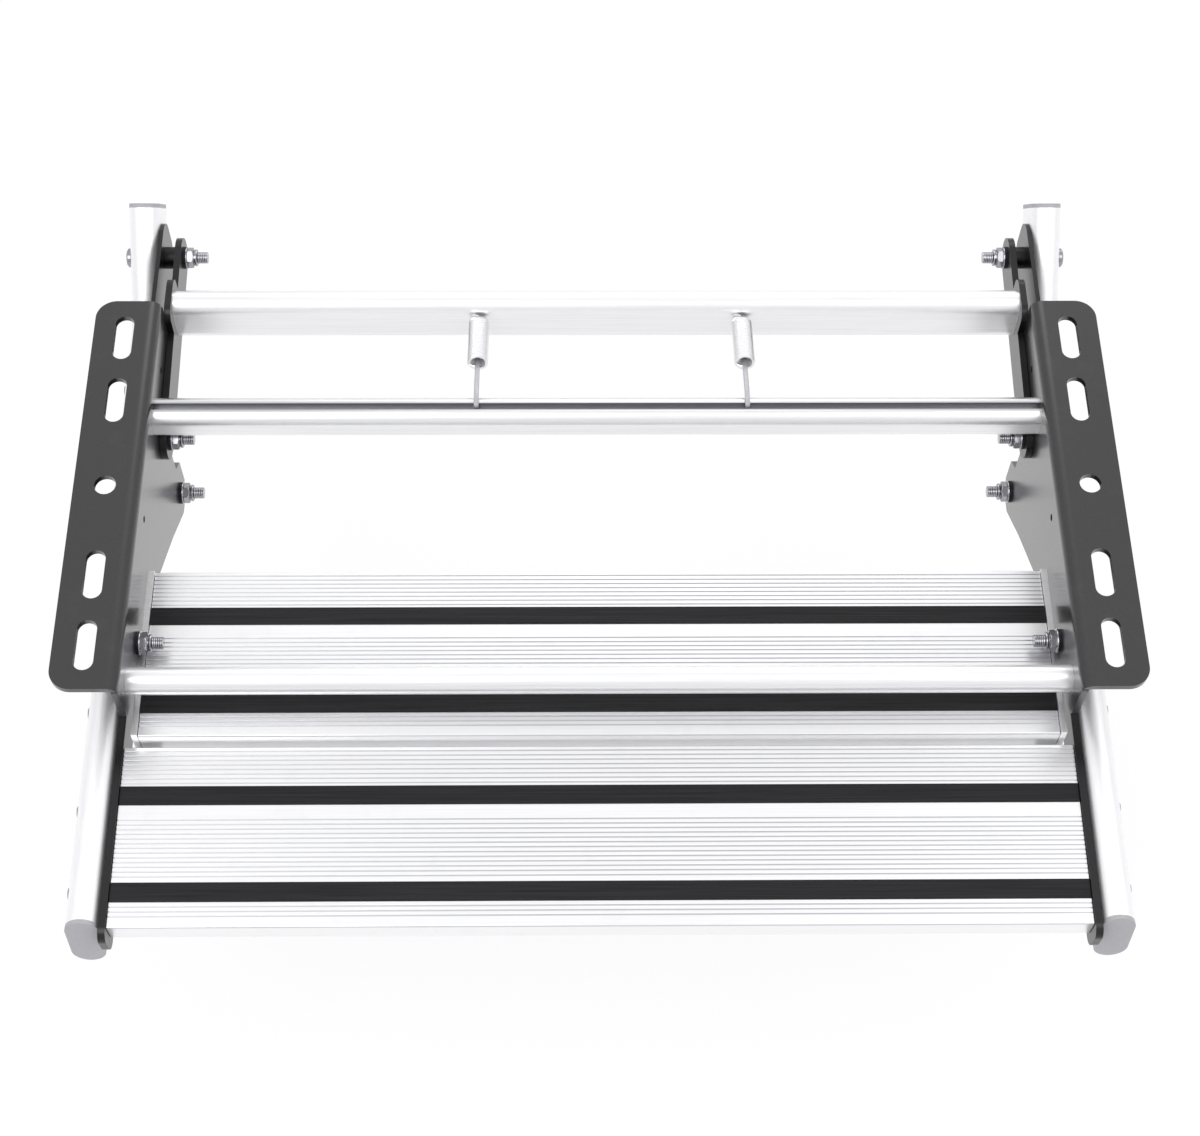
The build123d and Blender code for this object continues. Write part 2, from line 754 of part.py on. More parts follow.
for x, name in ((spring_left_x, "left"), (spring_right_x, "right")):
    with BuildPart() as coil:
        with BuildSketch(spring_plane(x, spring_standoff)):
            Circle(spring_diameter / 2)
            Circle(spring_diameter / 2 - spring_wire, mode=Mode.SUBTRACT)
        extrude(amount=spring_length)
        with BuildSketch(spring_plane(x, spring_standoff)):
            Circle(spring_diameter / 2 - spring_wire / 2)
        extrude(amount=spring_wire)
        with BuildSketch(spring_plane(x, -spring_standoff)):
            Circle(spring_wire / 2)
        extrude(amount=2 * spring_standoff)
    keep(coil.part, f"{name}_spring")

    with BuildPart() as strap:
        start = spring_standoff + spring_length - strap_inside
        with BuildSketch(spring_plane(x, start)):
            Rectangle(strap_width, strap_wall)
        extrude(amount=spring_run.length - start)
        with BuildSketch(Plane.YZ.offset(x - strap_width / 2)):
            with BuildLine():
                Polyline(
                    (strap_y + strap_wall / 2, strap_z - strap_wall / 2),
                    (strap_y + strap_wall / 2, strap_z + strap_wall / 2),
                    (rail_y - strap_wall / 2, strap_z + strap_wall / 2),
                    (rail_y - strap_wall / 2, strap_z - strap_wall / 2 - strap_hook_drop),
                    (rail_y + strap_wall / 2, strap_z - strap_wall / 2 - strap_hook_drop),
                    (rail_y + strap_wall / 2, strap_z - strap_wall / 2),
                    close=True,
                )
            make_face()
        extrude(amount=strap_width)
    keep(strap.part, f"{name}_spring_strap")
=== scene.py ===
import bpy
import numpy as np
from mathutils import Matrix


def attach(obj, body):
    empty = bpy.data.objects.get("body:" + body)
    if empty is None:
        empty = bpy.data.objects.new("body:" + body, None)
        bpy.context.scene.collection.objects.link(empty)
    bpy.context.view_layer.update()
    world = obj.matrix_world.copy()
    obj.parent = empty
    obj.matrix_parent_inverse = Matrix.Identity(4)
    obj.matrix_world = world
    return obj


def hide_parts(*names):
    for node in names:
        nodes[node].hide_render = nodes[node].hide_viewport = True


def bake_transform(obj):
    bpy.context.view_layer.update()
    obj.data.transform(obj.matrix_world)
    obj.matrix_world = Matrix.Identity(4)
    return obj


# Every length in this script is in millimetres, unless it says metres
MM = 0.001
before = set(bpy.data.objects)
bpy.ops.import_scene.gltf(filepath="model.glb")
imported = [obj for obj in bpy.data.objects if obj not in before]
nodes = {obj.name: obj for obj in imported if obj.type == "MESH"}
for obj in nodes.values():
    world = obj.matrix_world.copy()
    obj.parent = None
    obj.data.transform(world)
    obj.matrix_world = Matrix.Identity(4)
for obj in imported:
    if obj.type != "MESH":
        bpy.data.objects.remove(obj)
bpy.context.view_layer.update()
print("solids in the frame:", len(nodes))

# %% [markdown]
# ## The camera
# The photograph looks down on the step from in front at about sixty degrees. The camera was
# solved from known lengths on the brackets, so its place and its three turns are plain numbers.
# A camera could also be aimed with a constraint, but a matrix of its three axes says exactly
# where it looks, and it needs no helper object.
# %% The camera
# The picture's width and the solved focal length, both in its pixels
PHOTO_WIDTH = 1200
FOCAL_PIXELS = 2158.6
SENSOR_MM = 36.0
# The solved turns in radians: down, sideways, and about the line of sight
PITCH = np.radians(60.0)
YAW = 0.027847
ROLL = 0.021988
CAMERA_PLACE = np.array((-19.7, -768.7, 1219.8)) * MM

forward = np.array(
    (np.sin(YAW) * np.cos(PITCH), np.cos(YAW) * np.cos(PITCH), -np.sin(PITCH))
)
level_right = np.array((np.cos(YAW), -np.sin(YAW), 0.0))
level_up = np.cross(level_right, forward)
camera_right = np.cos(ROLL) * level_right + np.sin(ROLL) * level_up
camera_up = -np.sin(ROLL) * level_right + np.cos(ROLL) * level_up
pose = np.eye(4)
pose[:3, 0] = camera_right
pose[:3, 1] = camera_up
pose[:3, 2] = -forward
pose[:3, 3] = CAMERA_PLACE

camera = bpy.data.objects.new("camera", bpy.data.cameras.new("camera"))
camera.data.sensor_width = SENSOR_MM
camera.data.lens = FOCAL_PIXELS * SENSOR_MM / PHOTO_WIDTH
camera.matrix_world = pose.T.tolist()
bpy.context.scene.collection.objects.link(camera)
bpy.context.scene.camera = camera
bpy.context.scene.view_settings.view_transform = "Standard"
print("lens in mm:", round(camera.data.lens, 2))

# %% [markdown]
# ## Helpers for materials
# Colours are picked as hex values on a screen, which are sRGB. A shader works with linear light,
# so one function turns one into the other. The second helper adds one node with its settings,
# its plain values and its links, so that a material reads as a short list. The third one makes
# the empty material that the nodes go into.
# %% Helpers for materials


def linear(hex_colour):
    """The linear RGBA of an sRGB hex colour: the inverse of the sRGB curve on each channel."""
    digits = hex_colour.lstrip("#")
    value = np.array([int(digits[i : i + 2], 16) for i in (0, 2, 4)]) / 255
    light = np.where(value <= 0.04045, value / 12.92, ((value + 0.055) / 1.055) ** 2.4)
    return (*light.tolist(), 1.0)


def add(tree, kind, inputs=None, **settings):
    """One node in a tree: its settings, then a value or a link for each named input."""
    made = tree.nodes.new(kind)
    for name, value in settings.items():
        setattr(made, name, value)
    for name, value in (inputs or {}).items():
        if isinstance(value, bpy.types.NodeSocket):
            tree.links.new(value, made.inputs[name])
        else:
            made.inputs[name].default_value = value
    return made


def new_material(name):
    """An empty material with its output node, and its tree."""
    material = bpy.data.materials.new(name)
    material.use_nodes = True
    material.node_tree.nodes.clear()
    output = add(material.node_tree, "ShaderNodeOutputMaterial")
    return material, material.node_tree, output


# %% [markdown]
# ## A pattern that every finish shares
# Each surface here has a grain: the orange peel of powder paint, the drawing lines of extruded
# aluminium, the fine pits of zinc. All are noise with a different stretch. An image could hold
# them, but noise in object coordinates has a real size in millimetres and no seams. The stretch
# is given as the grain's size along each axis, and the grain makes the colour, the roughness
# and the relief together, because on a real surface they come from the same cause.
# %% A shared grain
# The part of the noise's range over which the two grain colours change
GRAIN_RANGE = (0.3, 0.7)
GRAIN_DETAIL = 4.0
GRAIN_BREAKUP = 0.55
# Handled patches: their size, the range of their noise in which they appear, their strength
WEAR_PATCH_MM = 22.0
WEAR_DETAIL = 6.0
WEAR_BREAKUP = 0.7
WEAR_RANGE = (0.55, 0.75)
WEAR_SHARE = 0.35
COAT_ROUGHNESS = 0.2


def noise(tree, vector, scale, detail, breakup):
    """Cloudy noise from 0 to 1. Breakup is how much each finer octave still counts."""
    inputs = {"Vector": vector, "Scale": scale, "Detail": detail, "Roughness": breakup}
    return add(tree, "ShaderNodeTexNoise", inputs).outputs["Fac"]


def remap(tree, value, start, end, low=0.0, high=1.0):
    """A value carried from the range start to end over to the range low to high."""
    inputs = {
        "Value": value,
        "From Min": start,
        "From Max": end,
        "To Min": low,
        "To Max": high,
    }
    return add(tree, "ShaderNodeMapRange", inputs).outputs["Result"]


def arithmetic(tree, operation, first, second):
    """One sum on two values or links."""
    made = add(tree, "ShaderNodeMath", {0: first, 1: second}, operation=operation)
    return made.outputs[0]


def tint(tree, share, colour, hex_colour):
    """A colour moved towards a second one by a share from 0 to 1."""
    inputs = {"Factor": share, "A": colour, "B": linear(hex_colour)}
    return add(tree, "ShaderNodeMix", inputs, data_type="RGBA").outputs["Result"]


def inside_band(tree, place, direction, low_mm, high_mm, fade_mm):
    """A share of 1 between two levels along a direction, and 0 past a fade on both sides."""
    level = add(
        tree, "ShaderNodeVectorMath", {0: place, 1: direction}, operation="DOT_PRODUCT"
    ).outputs["Value"]
    rise = remap(tree, level, (low_mm - fade_mm) * MM, low_mm * MM)
    fall = remap(tree, level, (high_mm + fade_mm) * MM, high_mm * MM)
    return arithmetic(tree, "MULTIPLY", rise, fall)


def finish(
    name,
    light,
    dark,
    grain_mm,
    roughness,
    spread,
    relief_mm,
    metallic=0.0,
    coat=0.0,
    gloss=0.5,
    wear=None,
    band=None,
):
    """A surface whose grain is noise of a size in mm along X, Y and Z.

    The noise mixes two colours, moves the roughness by a spread and lifts the surface by a
    relief in mm. Gloss is how strongly a surface that isn't metal mirrors, and coat is the share
    of a clear skin over it. Wear is a third colour for larger patches where it is handled.
    Band is a painted shade: a colour, a direction, and the two levels in mm along it between
    which the surface has that colour, with the width in mm over which it fades.
    """
    material, tree, output = new_material(name)
    place = add(tree, "ShaderNodeTexCoord").outputs["Object"]
    scale = tuple(1.0 / (size * MM) for size in grain_mm)
    stretched = add(tree, "ShaderNodeMapping", {"Vector": place, "Scale": scale})
    grain = noise(tree, stretched.outputs["Vector"], 1.0, GRAIN_DETAIL, GRAIN_BREAKUP)
    ramp = add(tree, "ShaderNodeValToRGB", {"Fac": grain})
    ends = zip(ramp.color_ramp.elements, GRAIN_RANGE, (dark, light))
    for element, position, hex_colour in ends:
        element.position = position
        element.color = linear(hex_colour)
    colour = ramp.outputs["Color"]
    if wear:
        patches = noise(tree, place, 1.0 / (WEAR_PATCH_MM * MM), WEAR_DETAIL, WEAR_BREAKUP)
        share = remap(tree, patches, *WEAR_RANGE, high=WEAR_SHARE)
        colour = tint(tree, share, colour, wear)
    if band:
        painted_shade_colour, *levels = band
        colour = tint(tree, inside_band(tree, place, *levels), colour, painted_shade_colour)
    rough = remap(tree, grain, 0.0, 1.0, roughness - spread, roughness + spread)
    bump = add(
        tree,
        "ShaderNodeBump",
        {"Height": grain, "Strength": 1.0, "Distance": relief_mm * MM},
    ).outputs["Normal"]
    shader = add(
        tree,
        "ShaderNodeBsdfPrincipled",
        {
            "Base Color": colour,
            "Metallic": metallic,
            "Roughness": rough,
            "Normal": bump,
            "Specular IOR Level": gloss,
            "Coat Weight": coat,
            "Coat Roughness": COAT_ROUGHNESS,
        },
    )
    tree.links.new(shader.outputs["BSDF"], output.inputs["Surface"])
    return material


# %% [markdown]
# ## The finishes
# The brackets are mild steel with a black powder coat. The tubes, bars and treads are satin
# anodised aluminium, drawn through dies, so their lines run along them. The anodised skin
# scatters a part of the light, so these metals aren't perfect mirrors. The strips are extruded
# rubber, the plugs moulded polyethylene, and every fastener is zinc plated. The real drawing
# lines and the pits of the zinc are finer than a pixel, so they are drawn a few times coarser.
# %% The finishes
# The groove along the fixed rail, from and to in Y, and the fade of the grey shade painted into
# it
BACKWARDS = (0.0, 1.0, 0.0)
RAIL_GROOVE = (68.4, 73.6, 2.5)
# The top faces of the treads: the lower one leans back and is measured from the tubes' knee
UPWARDS = (0.0, 0.0, 1.0)
UPPER_TREAD_TOP = -57.0
TREAD_TILT = np.radians(2.0)
LOWER_TREAD_UP = (0.0, -float(np.sin(TREAD_TILT)), float(np.cos(TREAD_TILT)))
KNEE = (0.0, 183.17, -74.63)
TREAD_ABOVE_KNEE = 18.2
LOWER_TREAD_TOP = TREAD_ABOVE_KNEE + float(np.dot(KNEE, LOWER_TREAD_UP))
# Between the ribs, shade is painted grey from just under the top face to below their floor
GROOVE_FLOOR = 0.95
GROOVE_LIP = 0.14
GROOVE_FADE = 0.08

# Baked resin on steel, with an orange peel about two millimetres across: black from above, and
# soft grey on the webs, where a flat angle mirrors the bright room
powder_coat = finish(
    "powder_coated_steel",
    "#1b1a1c",
    "#131214",
    (1.8, 1.8, 1.8),
    roughness=0.33,
    spread=0.06,
    relief_mm=0.025,
    coat=0.65,
    wear="#302f31",
)
# Thin gloss paint on the moving plates: deeper than the powder coat, with light on the edges
plate_coat = finish(
    "gloss_painted_plate",
    "#111012",
    "#0b0a0c",
    (1.4, 1.4, 1.4),
    roughness=0.3,
    spread=0.05,
    relief_mm=0.015,
    coat=0.3,
    gloss=0.28,
    wear="#1f1e20",
)
# Anodised aluminium drawn along Y: nearly white, and its skin blurs every dark thing it mirrors
tube_anodised = finish(
    "satin_anodised_tube",
    "#fafafb",
    "#f1f1f3",
    (0.7, 60.0, 0.7),
    roughness=0.45,
    spread=0.04,
    relief_mm=0.0012,
    metallic=0.75,
)
# The same metal drawn along X: a bright streak follows each bar, with a grey lower edge
bar_anodised = finish(
    "satin_anodised_bar",
    "#f8f8f9",
    "#ececee",
    (80.0, 0.7, 0.7),
    roughness=0.3,
    spread=0.04,
    relief_mm=0.0012,
    metallic=0.85,
)
# The rail: the same metal, with grey shade painted into its groove under a bright top
rail_anodised_painted_groove_shade = finish(
    "satin_anodised_rail_painted_groove_shade",
    "#f8f8f9",
    "#ececee",
    (80.0, 0.7, 0.7),
    roughness=0.3,
    spread=0.04,
    relief_mm=0.0012,
    metallic=1.0,
    band=("#a9a9ad", BACKWARDS, *RAIL_GROOVE),
)
# Grey shade painted into the grooves between the ribs: thin grey lines that show the ribs from
# afar, over patches of wear
upper_tread_anodised_painted_rib_shade, lower_tread_anodised_painted_rib_shade = (
    finish(
        f"extruded_{name}_tread_painted_rib_shade",
        "#f8f8f9",
        "#f1f1f3",
        (90.0, 0.6, 0.6),
        roughness=0.3,
        spread=0.04,
        relief_mm=0.0008,
        metallic=0.85,
        wear="#e6e6e8",
        band=("#d2d2d6", up, top - GROOVE_FLOOR, top - GROOVE_LIP, GROOVE_FADE),
    )
    for name, up, top in (
        ("upper", UPWARDS, UPPER_TREAD_TOP),
        ("lower", LOWER_TREAD_UP, LOWER_TREAD_TOP),
    )
)
# Extruded rubber: fine streaks along it and almost no shine, so it reads as grip
strip_rubber = finish(
    "extruded_rubber_strip",
    "#252427",
    "#0c0c0d",
    (70.0, 0.8, 0.8),
    roughness=0.6,
    spread=0.1,
    relief_mm=0.03,
    gloss=0.22,
)
# Moulded grey polyethylene: an even, matt, slightly waxy grey beside the bright tubes
cap_plastic = finish(
    "moulded_grey_plastic",
    "#a9a9ad",
    "#9d9da1",
    (1.1, 1.1, 1.1),
    roughness=0.5,
    spread=0.06,
    relief_mm=0.03,
)
# Natural nylon: a warm ivory that tells the bearings from the metal
bush_nylon = finish(
    "natural_nylon_bush",
    "#e6e2d6",
    "#dcd8cb",
    (1.0, 1.0, 1.0),
    roughness=0.45,
    spread=0.05,
    relief_mm=0.02,
)
# Bright zinc on steel: a darker, sharper mirror than aluminium, so nuts sparkle dark and light
zinc_steel = finish(
    "zinc_plated_steel",
    "#adadb2",
    "#909096",
    (0.5, 0.5, 0.5),
    roughness=0.13,
    spread=0.04,
    relief_mm=0.0015,
    metallic=1.0,
)
# Blackened steel: the dark ring that sets each bright nut off from its plate
washer_black = finish(
    "blackened_steel_washer",
    "#2b2a2d",
    "#201f22",
    (0.9, 0.9, 0.9),
    roughness=0.38,
    spread=0.06,
    relief_mm=0.012,
    metallic=0.6,
)
# Dull zinc: rolled flat stock, plainly greyer than the coil that it hangs from
strap_zinc = finish(
    "dull_zinc_strap",
    "#b6b6ba",
    "#a2a2a7",
    (0.8, 6.0, 0.8),
    roughness=0.5,
    spread=0.06,
    relief_mm=0.01,
    metallic=0.5,
)
# Bright plated wire: each turn of the coil has its own thin light line
spring_zinc = finish(
    "zinc_plated_spring_wire",
    "#f7f7f8",
    "#e8e8ea",
    (0.8, 0.8, 0.8),
    roughness=0.32,
    spread=0.06,
    relief_mm=0.01,
    metallic=1.0,
)

PARTS_IN = {
    powder_coat: ["left_bracket", "right_bracket"],
    plate_coat: [
        "left_swing_arm",
        "right_swing_arm",
        "left_front_link",
        "right_front_link",
        "left_side_plate",
        "right_side_plate",
        "left_pivot_plate",
        "right_pivot_plate",
    ],
    tube_anodised: ["left_side_tube", "right_side_tube"],
    bar_anodised: [
        "front_crossbar",
        "arm_crossbar",
        "left_tread_angle",
        "right_tread_angle",
    ],
    rail_anodised_painted_groove_shade: ["fixed_crossrail"],
    upper_tread_anodised_painted_rib_shade: ["upper_tread"],
    lower_tread_anodised_painted_rib_shade: ["lower_tread"],
    strip_rubber: [
        "upper_tread_rear_strip",
        "upper_tread_front_strip",
        "lower_tread_rear_strip",
        "lower_tread_front_strip",
    ],
    cap_plastic: ["tube_front_caps", "tube_rear_caps"],
    bush_nylon: ["arm_bushes"],
    spring_zinc: ["left_spring", "right_spring"],
    strap_zinc: ["left_spring_strap", "right_spring_strap"],
    washer_black: ["bracket_washers", "frame_washers", "frame_spacers"],
}
finish_of = {name: material for material, names in PARTS_IN.items() for name in names}
# What no list names is a bolt, screw, pin or nut, all of them zinc plated
for name, node in nodes.items():
    node.data.materials.clear()
    node.data.materials.append(finish_of.get(name, zinc_steel))
print("finishes:", len(PARTS_IN) + 1)

# %% [markdown]
# ## Turning a grid of points into a mesh
# Every new piece is a surface: a function of two parameters, worked out for a whole grid at
# once. This helper joins neighbouring points into quads. A grid can close on itself along its
# second parameter, as round a tube, and its two ends are closed by one flat face each.
# %% A grid helper
# Edges that fold more than this many degrees stay sharp
SHARP_ANGLE = 35.0


def surface(points, ring=False):
    """Vertices and quads of a grid (along, round, 3), joined up round its second parameter.

    Its ends close with one face each, or with each other if ring is true.
    """
    along, around = points.shape[:2]
    index = np.arange(along * around).reshape(along, around)
    after = np.roll(index, -1, axis=1)
    if ring:
        rows, next_rows = index, np.roll(index, -1, axis=0)
        next_after = np.roll(after, -1, axis=0)
        quads = np.stack([rows, after, next_after, next_rows], axis=-1)
    else:
        quads = np.stack([index[:-1], after[:-1], after[1:], index[1:]], axis=-1)
    faces = quads.reshape(-1, 4).tolist()
    if not ring:
        faces += [index[0][::-1].tolist(), index[-1].tolist()]
    return points.reshape(-1, 3), faces


def build(name, parts, material):
    """One mesh object from several surfaces, smooth, with its faces turned outwards."""
    vertices, faces, offset = [], [], 0
    for points, quads in parts:
        vertices.append(points)
        faces += [[i + offset for i in face] for face in quads]
        offset += len(points)
    mesh = bpy.data.meshes.new(name)
    mesh.from_pydata(np.concatenate(vertices).tolist(), [], faces)
    mesh.update()
    piece = bpy.data.objects.new(name, mesh)
    bpy.context.scene.collection.objects.link(piece)
    bpy.context.view_layer.objects.active = piece
    piece.select_set(True)
    bpy.ops.object.mode_set(mode="EDIT")
    bpy.ops.mesh.select_all(action="SELECT")
    bpy.ops.mesh.normals_make_consistent(inside=False)
    bpy.ops.object.mode_set(mode="OBJECT")
    piece.select_set(False)
    mesh.materials.append(material)
    mesh.shade_smooth()
    mesh.set_sharp_from_angle(angle=np.radians(SHARP_ANGLE))
    print(name, "faces:", len(mesh.polygons))
    return piece


# %% [markdown]
# ## The springs
# Each spring is a close coil of plated wire about 15 mm wide. Its rear end is a straight hook
# through the swinging cross bar, and its front end bends across the coil to hold a flat strap
# that hooks over the fixed rail. A screw modifier could wind it, but one path with its radius as
# a function of its length gives the hooks too.
# %% Two coil springs
# Where the coil leaves the cross bar and where the strap bends, in Y and Z
CROSSBAR_FACE = np.array((155.0, -26.0))
STRAP_BEND = np.array((82.65, -10.6))
SPRING_PLACES = {"left": -84.0, "right": 103.0}
COIL_START = 3.0
COIL_LENGTH = 44.0
WIRE = 2.4
COIL_RADIUS = 6.2
COIL_TURNS = 18.0
HOOK_BEHIND = 3.0
# How late the hook opens out into the coil: 1 is at once, more is later
HOOK_OPENING = 1.6
# The last turn closes on the strap: the share of the radius it loses, and its half turns
CLOSING_SHARE = 0.8
CLOSING_TURN = 0.35
HOOK_STEPS = 30
CLOSING_STEPS = 26
STEPS_PER_TURN = 26
WIRE_SIDES = 10


def coil_path(x):
    """Centre line of the wire: a helix whose radius shrinks to a hook at its rear end.

    At parameter t from 0 to 1 the wire is at start + axis * d(t) + r(t) * (cos a, sin a), where
    the angle a grows evenly through the coil, and r is the coil's radius but for the ends.
    """
    run = STRAP_BEND - CROSSBAR_FACE
    axis = np.array((0.0, *(run / np.linalg.norm(run))))
    side = np.array((1.0, 0.0, 0.0))
    lift = np.cross(axis, side)
    start = np.array((x, *CROSSBAR_FACE))
    hook = np.linspace(0.0, 1.0, HOOK_STEPS)
    turns = np.linspace(0.0, 1.0, int(COIL_TURNS * STEPS_PER_TURN))
    closing = np.linspace(0.0, 1.0, CLOSING_STEPS)[1:]
    eased = hook * hook * (3 - 2 * hook)
    half = WIRE / 2
    coil_end = COIL_START + COIL_LENGTH - half
    along = np.concatenate(
        [
            -HOOK_BEHIND + (HOOK_BEHIND + COIL_START + half) * hook,
            COIL_START + half + (COIL_LENGTH - WIRE) * turns[1:],
            coil_end + closing * half,
        ]
    )
    radius = np.concatenate(
        [
            COIL_RADIUS * np.clip(1 - HOOK_OPENING * (1 - eased), 0.0, 1.0),
            np.full(len(turns) - 1, COIL_RADIUS),
            COIL_RADIUS * (1 - CLOSING_SHARE * closing),
        ]
    )
    angle = np.concatenate(
        [
            np.pi * hook,
            np.pi + 2 * np.pi * COIL_TURNS * turns[1:],
            np.pi + 2 * np.pi * COIL_TURNS + np.pi * CLOSING_TURN * closing,
        ]
    )
    radial = np.cos(angle)[:, None] * side + np.sin(angle)[:, None] * lift
    return start + along[:, None] * axis + radius[:, None] * radial, radial


def wire_along(path, radial, thickness):
    """A round wire: path + thickness / 2 * (cos t * across + sin t * other).

    Across and other stand square to the path and to each other; across is its radial
    direction with the part along the path taken off.
    """
    tangent = np.gradient(path, axis=0)
    tangent /= np.linalg.norm(tangent, axis=1)[:, None]
    across = radial - (radial * tangent).sum(1)[:, None] * tangent
    across /= np.linalg.norm(across, axis=1)[:, None]
    other = np.cross(tangent, across)
    turn = np.linspace(0, 2 * np.pi, WIRE_SIDES, endpoint=False)
    ring = (
        np.cos(turn)[None, :, None] * across[:, None]
        + np.sin(turn)[None, :, None] * other[:, None]
    )
    return path[:, None] + ring * thickness / 2


def bend_with_arms(piece):
    """Bake the piece's transform into its mesh."""
    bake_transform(piece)


for name, x in SPRING_PLACES.items():
    path, radial = coil_path(x)
    spring = build(
        f"{name}_coil",
        [surface(wire_along(path, radial, WIRE) * MM)],
        spring_zinc,
    )
    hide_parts(f"{name}_spring")
    bend_with_arms(spring)

# %% [markdown]
# ## The straps
# A flat steel strap hooks over the groove of the rail and runs back inside the coil, where it
# takes the pull. It is a rounded bar section carried along a bent line. Each bend is a short
# curve between two straight runs, and the long run has many steps.
# %% Two straps
STRAP_WIDTH = 3.4
STRAP_WALL = 2.0
# Length of straight strap that each bend takes up on either side of its corner
STRAP_BEND_MM = 2.4
# How far in front of the cross bar the strap ends inside the coil
STRAP_END = 7.0
STRAP_CORNERS = np.array(((71.0, -15.4), (71.0, -10.6), STRAP_BEND))
STRAP_SIDES = 20
BEND_STEPS = 9
RUN_STEPS = 40
# The higher the power, the squarer the section
SECTION_POWER = 5.0


def strap_path():
    """Line of the strap in Y and Z: straight runs, and at each bend a quadratic curve."""
    axis = (STRAP_BEND - CROSSBAR_FACE) / np.linalg.norm(STRAP_BEND - CROSSBAR_FACE)
    points = np.vstack([STRAP_CORNERS, CROSSBAR_FACE + axis * STRAP_END])
    t = np.linspace(0, 1, BEND_STEPS)[:, None]
    line = [points[:1]]
    for before, corner, after in zip(points, points[1:], points[2:]):
        leave = corner - (corner - before) / np.linalg.norm(corner - before) * STRAP_BEND_MM
        arrive = corner + (after - corner) / np.linalg.norm(after - corner) * STRAP_BEND_MM
        line.append((1 - t) ** 2 * leave + 2 * t * (1 - t) * corner + t**2 * arrive)
    run = np.linspace(0, 1, RUN_STEPS)[1:, None]
    line.append(line[-1][-1] * (1 - run) + points[-1] * run)
    return np.vstack(line)


def strap(x):
    """A flat bar along the path: its section is |u/a|^n + |v/b|^n = 1, nearly a rectangle."""
    path = strap_path()
    tangent = np.gradient(path, axis=0)
    tangent /= np.linalg.norm(tangent, axis=1)[:, None]
    out = np.stack([-tangent[:, 1], tangent[:, 0]], axis=1)
    turn = np.linspace(0, 2 * np.pi, STRAP_SIDES, endpoint=False)
    wide = np.sign(np.cos(turn)) * np.abs(np.cos(turn)) ** (2 / SECTION_POWER)
    thick = np.sign(np.sin(turn)) * np.abs(np.sin(turn)) ** (2 / SECTION_POWER)
    flat = path[:, None] + out[:, None] * thick[None, :, None] * STRAP_WALL / 2
    across = np.broadcast_to(x + wide * STRAP_WIDTH / 2, flat.shape[:2])
    return surface(np.concatenate([across[..., None], flat], axis=-1) * MM)


for name, x in SPRING_PLACES.items():
    bar = build(f"{name}_hook_strap", [strap(x)], strap_zinc)
    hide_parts(f"{name}_spring_strap")
    bend_with_arms(bar)

# %% [markdown]
# ## The lock nuts
# A lock nut is a hexagon with turned corners, a round washer face below it and a low collar on
# top that grips the thread. It could be a cylinder cut by boolean steps. Here it is one closed
# grid: a profile runs from the bore over the washer face, the hexagon and the collar and back,
# and at each angle the hexagon's own radius caps the profile, which cuts the six flats and the
# curved corners at once.
# %% Lock nuts
NUT_SIZE = 13.0
NUT_BORE = 4.05
NUT_SIDES = 72
PROFILE_STEPS = 6
# Corners of the profile, each as height from the washer and radius
NUT_PROFILE = (
    (0.0, NUT_BORE),
    (0.0, 8.0),
    (0.5, 8.2),
    (1.0, 8.0),
    (1.3, 7.0),
    (1.7, 7.6),
    (4.9, 7.6),
    (5.6, 6.5),
    (5.8, 5.2),
    (6.2, 5.2),
    (6.4, 6.0),
    (7.4, 6.2),
    (8.0, 6.0),
    (8.3, 5.2),
    (8.3, NUT_BORE),
)
# Height up to which the nut stays round
WASHER_FACE_TOP = 1.4


def nut(side, seat, y, z):
    """A nut whose axis is X: radius = the lesser of the profile's and the hexagon's own.

    The washer face below the hexagon is left round.
    """
    corners = np.array(NUT_PROFILE)
    share = np.linspace(
        0, len(corners) - 1, (len(corners) - 1) * PROFILE_STEPS, endpoint=False
    )
    height = np.interp(share, np.arange(len(corners)), corners[:, 0])
    radius = np.interp(share, np.arange(len(corners)), corners[:, 1])
    turn = np.linspace(0, 2 * np.pi, NUT_SIDES, endpoint=False)
    sixth = np.pi / 3
    flat = NUT_SIZE / 2 / np.cos((turn + sixth / 2) % sixth - sixth / 2)
    hexagon = np.where(height[:, None] > WASHER_FACE_TOP, flat[None, :], np.inf)
    reach = np.minimum(radius[:, None], hexagon)
    points = np.stack(
        [
            np.broadcast_to(side * (seat - height[:, None]), reach.shape),
            y + reach * np.cos(turn),
            z + reach * np.sin(turn),
        ],
        axis=-1,
    )
    return surface(points * MM, ring=True)


WASHER = 1.6
# Distance from the middle of the faces behind the washers, and the bolts' places in Y and Z
ARM_FACE = 301.1
WEB_FACE = 306.0
ARM_PIVOT = (72.0, -54.0)
LINK_PIVOT = (-95.0, -46.0)
STOP = (76.0, -132.0)
ARM_END = (219.5, -37.4)
CHASSIS_NUTS = ((ARM_FACE, *ARM_PIVOT), (WEB_FACE, *LINK_PIVOT), (WEB_FACE, *STOP))
FRAME_NUTS = ((ARM_FACE, *ARM_END),)
SIDES = (-1, 1)
for name, body, old, seats in (
    ("bracket_lock_nuts", "chassis", "bracket_nuts", CHASSIS_NUTS),
    ("frame_lock_nuts", "lower_step", "frame_nuts", FRAME_NUTS),
):
    shapes = [nut(s, seat - WASHER, y, z) for s in SIDES for seat, y, z in seats]
    nuts = build(name, shapes, zinc_steel)
    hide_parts(old)
    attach(nuts, body)

# %% [markdown]
# ## The threads
# The plain nuts of the model leave nine millimetres of bolt, of which the collars above cover
# the first two. The thread has a pitch of 1.25 mm. It is a tube whose radius rises and falls
# with the distance along it minus the share of a turn, which is what winds the ridges into a
# screw. It stands a little proud of the plain shank beneath it, and it tapers at the tip as a
# rolled thread does.
# %% Threaded ends
PLAIN_NUT = 6.5
PITCH_MM = 1.25
THREAD_LENGTH = 9.0
